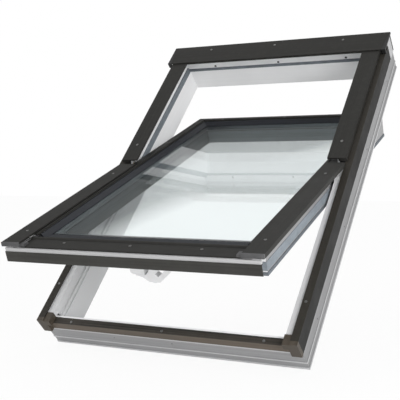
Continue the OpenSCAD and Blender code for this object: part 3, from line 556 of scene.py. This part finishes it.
class ROOFWINDOW_OT_profiles(bpy.types.Operator):
    """Finish the white plastic profiles of the frame and the sash"""

    bl_idname = "roofwindow.profiles"
    bl_label = "Plastic Profiles"

    def execute(self, context):
        look = context.scene.roof_window_finishes
        white, shade_grey, slate, black = (
            tuple(c) for c in (look.profile_white, look.outside_shade_grey, look.sash_shade_slate, look.seal_black))
        # Painted shade and highlights: the outside walls are painted grey, darker on the jambs than on the
        # rails, and the rib crests are lighter
        jamb_zones = (Zone(ACROSS, BEYOND, JAMB_OUTSIDE, tint(shade_grey, JAMB_WALL_SHADE_SHARE)),
                      Zone(ACROSS, BEYOND, JAMB_RIBS, tint(shade_grey, JAMB_RIB_HIGHLIGHT_SHARE)))
        rail_zones = (Zone(UP_SLOPE, BEYOND, RAIL_OUTSIDE, tint(shade_grey, RAIL_WALL_SHADE_SHARE)),
                      Zone(UP_SLOPE, BEYOND, RAIL_RIBS, tint(shade_grey, RAIL_RIB_HIGHLIGHT_SHARE)))
        # Painted shade: the sash profiles' tops above the rebate floor, seen in the gaps between the covers
        # and the glazing gaskets, are painted seal black
        rebate_shade = Zone(OUTWARD, BEYOND, REBATE_FLOOR, black, from_middle=False)
        # Painted shade: the sash's faces towards the daylight opening are painted slate, darkest on the
        # stiles, and the stiles' outside walls are painted grey as shade
        stile_zones = (Zone(ACROSS, SHORT_OF, STILE_DAYLIGHT, tint(slate, STILE_SHADE_SLATE_SHARE)),
                       Zone(ACROSS, BEYOND, STILE_OUTSIDE, tint(shade_grey, STILE_WALL_SHADE_SHARE)), rebate_shade)
        top_zones = (Zone(UP_SLOPE, SHORT_OF, TOP_DAYLIGHT, slate, from_middle=False), rebate_shade)
        bottom_zones = (Zone(UP_SLOPE, BEYOND, BOTTOM_DAYLIGHT, slate, from_middle=False),)
        dress(profile_plastic("Jamb plastic", white, ROOF, UP_SLOPE, jamb_zones, JAMB_PAINTED_SHADE_SHARE,
                              Bores(ACROSS, *JAMB_BORES, black)),
              "frame_left_jamb", "frame_right_jamb", "frame_lower_liners", "hood_end_blocks")
        # Painted light: the rails' white is lighter than the jambs' white
        dress(profile_plastic("Rail plastic", tint(white, RAIL_PAINTED_LIGHT_SHARE), ROOF, ACROSS, rail_zones,
                              bores=Bores(UP_SLOPE, *RAIL_BORES, black)),
              "frame_top_rail", "frame_bottom_rail")
        dress(profile_plastic("Stile plastic", white, SASH, UP_SLOPE, stile_zones),
              "sash_left_stile", "sash_right_stile")
        dress(profile_plastic("Sash top plastic", white, SASH, ACROSS, top_zones), "sash_top_rail")
        dress(profile_plastic("Sash bottom plastic", white, SASH, ACROSS, bottom_zones), "sash_bottom_rail")
        # Painted shade: the nose is the profile white darkened to about half
        dress(profile_plastic("Nose plastic", tint(white, NOSE_PAINTED_SHADE_SHARE), SASH, ACROSS),
              "sash_bottom_carrier")
        dress(profile_plastic("Carrier plastic", white, SASH, UP_SLOPE), *left_right("sash_side_carrier"))
        dress(profile_plastic("Handle plastic", white, SASH, UP_SLOPE), "handle_base", "handle_lever")
        return {"FINISHED"}


class ROOFWINDOW_OT_covers(bpy.types.Operator):
    """Finish the painted metal covers"""

    bl_idname = "roofwindow.covers"
    bl_label = "Metal Covers"

    def execute(self, context):
        look = context.scene.roof_window_finishes
        paint = look.cover_paint
        strip_top = (STRIP_TOP, look.strip_paint)
        bottom_top = (BOTTOM_COVER_TOP, tint(paint, BOTTOM_TOP_SHARE))
        dress(powder_paint("Frame cover paint", paint, ROOF, UP_SLOPE), *left_right("upper_side_cover"))
        # Painted shade: the strips' sides are painted darker than their tops
        dress(powder_paint("Strip paint", tint(paint, STRIP_SIDE_SHADE_SHARE), ROOF, UP_SLOPE, strip_top),
              *left_right("side_strip"))
        dress(powder_paint("Hood paint", paint, ROOF, ACROSS), "hood")
        dress(powder_paint("Sash cover paint", paint, SASH, UP_SLOPE),
              *left_right("glazing_cover", "sash_side_cover"))
        dress(powder_paint("Sash end paint", paint, SASH, ACROSS), "glazing_cover_top", "sash_bottom_cover")
        dress(powder_paint("Apron paint", tint(paint, APRON_SHARE), SASH, ACROSS), "sash_apron")
        dress(powder_paint("Bottom cover paint", look.bottom_paint, ROOF, ACROSS, bottom_top), "bottom_cover")
        return {"FINISHED"}


class ROOFWINDOW_OT_caps(bpy.types.Operator):
    """Finish the moulded caps, blocks and carriers"""

    bl_idname = "roofwindow.caps"
    bl_label = "Moulded Caps"

    def execute(self, context):
        look = context.scene.roof_window_finishes
        dress(moulded_plastic("Black cap", look.cap_black),
              "hood_end_caps", *left_right("upper_cover_carrier"))
        dress(moulded_plastic("Brown cap", look.cap_brown), *left_right("strip_end_cap", "corner_block"))
        dress(moulded_plastic("Grey cap", look.cap_grey), *left_right("sash_end_cap"))
        return {"FINISHED"}


class ROOFWINDOW_OT_seals(bpy.types.Operator):
    """Finish the gaskets and glazing seals"""

    bl_idname = "roofwindow.seals"
    bl_label = "Seals"

    def execute(self, context):
        look = context.scene.roof_window_finishes
        slate = look.gasket_slate
        dress(soft_seal("Frame gasket", slate, ROOF), "frame_upper_gasket")
        dress(soft_seal("Sash gasket", tint(slate, SIDE_GASKET_SHARE), SASH), "sash_side_gasket")
        dress(soft_seal("Inner seal", tint(slate, INNER_SEAL_SHARE), SASH), "sash_inner_seal")
        dress(soft_seal("Glazing seal", look.seal_black, SASH, rough=0.5),
              "edge_seal", "inner_glazing_gasket", "outer_glazing_gasket")
        return {"FINISHED"}


class ROOFWINDOW_OT_glazing(bpy.types.Operator):
    """Finish the panes and their spacer"""

    bl_idname = "roofwindow.glazing"
    bl_label = "Glazing"

    def execute(self, context):
        look = context.scene.roof_window_finishes
        dress(float_glass("Pane glass", look.glass_tint), "outer_pane", "inner_pane")
        dress(plated_metal("Spacer metal", look.spacer_grey, rough=0.42), "spacer_frame")
        return {"FINISHED"}


class ROOFWINDOW_OT_fittings(bpy.types.Operator):
    """Finish the steel hinges, lock and reinforcements"""

    bl_idname = "roofwindow.fittings"
    bl_label = "Steel Fittings"

    def execute(self, context):
        look = context.scene.roof_window_finishes
        dress(plated_metal("Zinc plate", look.plate_zinc, rough=0.36),
              *left_right("frame_hinge", "sash_hinge"), "strike_plates", "lock_bar", "lock_bar_guides",
              "frame_reinforcement", "sash_reinforcement")
        dress(plated_metal("Shoe brass", look.shoe_brass, rough=0.34), "friction_shoes")
        return {"FINISHED"}


class ROOFWINDOW_OT_screws(bpy.types.Operator):
    """Model cross-recessed screws in place of the plain ones"""

    bl_idname = "roofwindow.screws"
    bl_label = "Screws"

    def execute(self, context):
        look, sizes = context.scene.roof_window_finishes, context.scene.roof_window_fittings
        zinc = plated_metal("Screw zinc", look.screw_zinc, rough=0.34)
        black = plated_metal("Screw black", tint(look.cover_paint, SCREW_BLACK_SHARE), rough=0.4)
        roof, sash = ROOF.axes(), SASH.axes()
        groups = (
            ("frame_cover_screws", "frame_body", lambda p: roof[OUTWARD], zinc),
            ("sash_cover_screws", "sash_body", lambda p: sash[OUTWARD], zinc),
            ("top_rail_screws", "frame_body", lambda p: -roof[UP_SLOPE], black),
            ("hinge_screws", "frame_body", lambda p: Vector((-1 if p.x > 0 else 1, 0, 0)), zinc),
        )
        for node, body, facing, material in groups:
            mesh = bmesh.new()
            for points in islands(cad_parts[node]):
                outward = facing(sum(points, Vector()) / len(points))
                add_screw(mesh, head_top(points, outward), outward, sizes)
            finish_piece(mesh, node + "_turned", body, material, [node])
        return {"FINISHED"}


class ROOFWINDOW_OT_pane_lip(bpy.types.Operator):
    """Model the rubber lip between the pane and the sash's bottom cover"""

    bl_idname = "roofwindow.pane_lip"
    bl_label = "Pane Lip"

    def execute(self, context):
        look, sizes = context.scene.roof_window_finishes, context.scene.roof_window_fittings
        across, up_slope, outward = SASH.axes()
        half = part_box("outer_pane")[1][0] - LIP_INSET
        width, thickness = sizes.lip_width, sizes.lip_thickness
        section = ((0.0, 0.0), (0.0, thickness), (LIP_FLAT_SHARE * width, thickness),
                   (width, LIP_EDGE_SHARE * thickness), (width, 0.0))
        corner = SASH.origin - across * half
        mesh = bmesh.new()
        verts = [mesh.verts.new(corner + up_slope * (LIP_START + rise) + outward * (PANE_FACE + height))
                 for rise, height in section]
        face = bmesh.ops.contextual_create(mesh, geom=verts)["faces"]
        made = bmesh.ops.extrude_face_region(mesh, geom=face)["geom"]
        bmesh.ops.translate(mesh, verts=only(made, bmesh.types.BMVert), vec=across * 2 * half)
        long_edges = [e for e in mesh.edges if abs((e.verts[0].co - e.verts[1].co).x) > half]
        bmesh.ops.bevel(mesh, geom=long_edges, offset=LIP_ROUNDING, affect="EDGES", segments=2,
                        profile=0.5, material=-1)
        rubber = soft_seal("Pane lip", look.seal_black, SASH, rough=0.55)
        finish_piece(mesh, "pane_lip", "sash_body", rubber)
        return {"FINISHED"}


def only(geometry, kind):
    """The elements of one kind."""
    return [g for g in geometry if isinstance(g, kind)]


def islands(node):
    """Vertex places of each connected lump of a CAD node."""
    copy = bmesh.new()
    copy.from_mesh(node.data)
    bmesh.ops.remove_doubles(copy, verts=copy.verts, dist=WELD)
    left = set(copy.verts)
    found = []
    while left:
        lump, reached = set(), [left.pop()]
        while reached:
            vert = reached.pop()
            lump.add(vert)
            near = {e.other_vert(vert) for e in vert.link_edges} & left
            left -= near
            reached.extend(near)
        found.append(sorted((v.co.copy() for v in lump), key=tuple))
    copy.free()
    return sorted(found, key=lambda points: tuple(points[0]))


def head_top(points, outward):
    """Middle of a screw's top."""
    high = max(p.dot(outward) for p in points)
    crown = [p for p in points if p.dot(outward) > high - TOP_DEPTH]
    return sum(crown, Vector()) / len(crown)


def in_recess(face):
    """Whether a cell of a screw head, two units wide, lies in the cross."""
    near, far = sorted(abs(c) for c in face.calc_center_median()[:2])
    return near < RECESS_WIDTH_SHARE and far < RECESS_REACH_SHARE


def add_screw(mesh, top, outward, sizes):
    """A pan head with a cross recess on a pointed shank, its top at a point and facing outward."""
    start = len(mesh.verts)
    radius, height = sizes.head_radius, sizes.head_height
    grid = bmesh.ops.create_grid(mesh, x_segments=HEAD_CELLS, y_segments=HEAD_CELLS, size=1.0)["verts"]
    cells = {f for v in grid for f in v.link_faces}
    cross = sorted((f for f in cells if in_recess(f)), key=lambda f: tuple(f.calc_center_median()))
    for vert in grid:
        x, y = vert.co.x, vert.co.y
        vert.co = Vector((x * math.sqrt(1 - y * y / 2), y * math.sqrt(1 - x * x / 2), 0))
        vert.co.z = -CROWN_SHARE * vert.co.xy.length_squared ** 2
        vert.co *= radius
        vert.co.z *= height / radius
    dug = only(bmesh.ops.extrude_face_region(mesh, geom=cross)["geom"], bmesh.types.BMVert)
    bmesh.ops.translate(mesh, verts=dug, vec=(0, 0, -RECESS_DEPTH_SHARE * height))
    bmesh.ops.scale(mesh, verts=dug, vec=(RECESS_TAPER_SHARE, RECESS_TAPER_SHARE, 1))
    bmesh.ops.delete(mesh, geom=cross, context="FACES")
    mesh.verts.ensure_lookup_table()
    own = set(mesh.verts[start:])
    rim = [e for e in mesh.edges if e.is_boundary and own.issuperset(e.verts)]
    steps = ((HEAD_SIDE_SHARE * height, 1.0), (0.0, sizes.shank_radius / radius),
             (SHANK_SHARE * sizes.shank_length, 1.0), (POINT_SHARE * sizes.shank_length, TIP_SHARE))
    for drop, share in steps:
        made = bmesh.ops.extrude_edge_only(mesh, edges=rim)["geom"]
        ring = only(made, bmesh.types.BMVert)
        bmesh.ops.translate(mesh, verts=ring, vec=(0, 0, -drop))
        bmesh.ops.scale(mesh, verts=ring, vec=(share, share, 1))
        rim = [e for e in only(made, bmesh.types.BMEdge) if e.is_boundary]
    bmesh.ops.contextual_create(mesh, geom=rim)
    mesh.verts.ensure_lookup_table()
    place = Matrix.Translation(top) @ outward.to_track_quat("Z", "Y").to_matrix().to_4x4()
    bmesh.ops.transform(mesh, matrix=place, verts=mesh.verts[start:])


def made_object(mesh, name, material):
    """An object in the scene from a bmesh."""
    data = bpy.data.meshes.new(name)
    mesh.to_mesh(data)
    mesh.free()
    data.materials.append(material)
    thing = bpy.data.objects.new(name, data)
    bpy.context.scene.collection.objects.link(thing)
    return thing


def finish_piece(mesh, name, body, material, replaced=()):
    """Turn a bmesh into a piece that rides on a body."""
    bmesh.ops.recalc_face_normals(mesh, faces=mesh.faces)
    piece = made_object(mesh, name, material)
    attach(piece, body)
    if replaced:
        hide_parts(*replaced)


class ROOFWINDOW_OT_stage(bpy.types.Operator):
    """Set up the floor, the light and the camera"""

    bl_idname = "roofwindow.stage"
    bl_label = "Stage"

    def execute(self, context):
        stage = context.scene.roof_window_stage
        add_floor(stage)
        add_room_light(context.scene, stage)
        add_lamp("Key", KEY_PLACE, KEY_SIZE, stage.key_power)
        add_lamp("Front", FRONT_PLACE, FRONT_SIZE, stage.front_power)
        add_camera(context.scene, stage)
        context.scene.view_settings.view_transform = "Standard"
        return {"FINISHED"}


def seen_directly(tree):
    """One for camera, glossy and transmission rays, nothing for others."""
    path = tree.nodes.new("ShaderNodeLightPath").outputs
    mirrored = reckon(tree, "MAXIMUM", path["Is Camera Ray"], path["Is Glossy Ray"])
    return reckon(tree, "MAXIMUM", mirrored, path["Is Transmission Ray"])


def add_floor(stage):
    """A white floor with a faint shadow."""
    mesh = bmesh.new()
    bmesh.ops.create_grid(mesh, x_segments=1, y_segments=1, size=FLOOR_HALF)
    bmesh.ops.translate(mesh, verts=mesh.verts, vec=(0, 0, CAD_BOX[0][2] - FLOOR_GAP))
    finish = Finish("Floor white")
    finish.constant(Base_Color=FLOOR_WHITE, Roughness=0.9, Specular_IOR_Level=0.0)
    tree = finish.tree
    white = tree.nodes.new("ShaderNodeEmission")
    share = finish.math("MULTIPLY", seen_directly(tree), 1.0 - stage.shadow_share)
    surface = mix_shaders(tree, share, finish.shader.outputs[0], white.outputs[0])
    tree.links.new(surface, tree.nodes["Material Output"].inputs["Surface"])
    floor = made_object(mesh, "floor", finish.material)


def add_room_light(scene, stage):
    """A white room for the camera, the same with a shaded band at half height for gloss and glass,
    and soft light that is weaker from the right for everything else."""
    world = bpy.data.worlds.new("Room")
    world.use_nodes = True
    tree = world.node_tree
    axes = tree.nodes.new("ShaderNodeSeparateXYZ")
    tree.links.new(tree.nodes.new("ShaderNodeTexCoord").outputs["Generated"], axes.inputs[0])
    sideways, _, rise = axes.outputs
    soft = tree.nodes["Background"]
    band, white = (tree.nodes.new("ShaderNodeBackground") for _ in range(2))
    for look in (soft, band, white):
        look.inputs["Color"].default_value = (1, 1, 1, 1)
    level = ramp(tree, sideways, (BRIGHT_SIDE, DARK_SIDE), (stage.fill_level, stage.shade_level))
    tree.links.new(level, soft.inputs["Strength"])
    below = ramp(tree, rise, BAND_FOOT, (1.0, stage.gloss_shade))
    above = ramp(tree, rise, BAND_HEAD, (stage.gloss_shade, 1.0))
    tree.links.new(reckon(tree, "MAXIMUM", below, above), band.inputs["Strength"])
    path = tree.nodes.new("ShaderNodeLightPath")
    surface = soft.outputs[0]
    for ray, look in (("Is Glossy Ray", band), ("Is Transmission Ray", band), ("Is Camera Ray", white)):
        surface = mix_shaders(tree, path.outputs[ray], surface, look.outputs[0])
    tree.links.new(surface, tree.nodes["World Output"].inputs["Surface"])
    scene.world = world


def add_lamp(name, place, size, power):
    """A square lamp that shines on the window's middle."""
    lamp = bpy.data.lights.new(name, "AREA")
    lamp.size = size
    lamp.energy = power
    thing = bpy.data.objects.new(name, lamp)
    thing.location = place
    thing.rotation_euler = (-Vector(place)).to_track_quat("-Z", "Y").to_euler()
    bpy.context.scene.collection.objects.link(thing)


def add_camera(scene, stage):
    """The camera at the viewing angle that the window is shown from."""
    lens = bpy.data.cameras.new("Camera")
    lens.lens = stage.lens
    lens.sensor_width = SENSOR_WIDTH
    lens.sensor_fit = "HORIZONTAL"
    camera = bpy.data.objects.new("Camera", lens)
    camera.location = CAMERA_PLACE
    camera.rotation_euler = [math.radians(a) for a in CAMERA_TURN]
    scene.collection.objects.link(camera)
    scene.camera = camera


class ROOFWINDOW_PT_sidebar(bpy.types.Panel):
    """Lists the steps that dress the roof window"""

    bl_idname = "ROOFWINDOW_PT_sidebar"
    bl_label = "Roof Window"
    bl_space_type = "VIEW_3D"
    bl_region_type = "UI"
    bl_category = "Roof Window"

    def draw(self, context):
        for group in GROUPS:
            settings = getattr(context.scene, group)
            box = self.layout.box()
            for key in settings.__annotations__:
                box.prop(settings, key)
        for step in STEPS:
            self.layout.operator(step.bl_idname)


STEPS = (
    ROOFWINDOW_OT_profiles,
    ROOFWINDOW_OT_covers,
    ROOFWINDOW_OT_caps,
    ROOFWINDOW_OT_seals,
    ROOFWINDOW_OT_glazing,
    ROOFWINDOW_OT_fittings,
    ROOFWINDOW_OT_screws,
    ROOFWINDOW_OT_pane_lip,
    ROOFWINDOW_OT_stage,
)
GROUPS = {
    "roof_window_finishes": RoofWindowFinishes,
    "roof_window_fittings": RoofWindowFittings,
    "roof_window_stage": RoofWindowStage,
}


def register():
    for made in (*GROUPS.values(), *STEPS, ROOFWINDOW_PT_sidebar):
        bpy.utils.register_class(made)
    for name, group in GROUPS.items():
        setattr(bpy.types.Scene, name, PointerProperty(type=group))


def unregister():
    for name in GROUPS:
        delattr(bpy.types.Scene, name)
    for made in reversed((*GROUPS.values(), *STEPS, ROOFWINDOW_PT_sidebar)):
        bpy.utils.unregister_class(made)


def main():
    register()
    for step in STEPS:
        group, name = step.bl_idname.split(".")
        getattr(getattr(bpy.ops, group), name)()


if __name__ == "__main__":
    main()
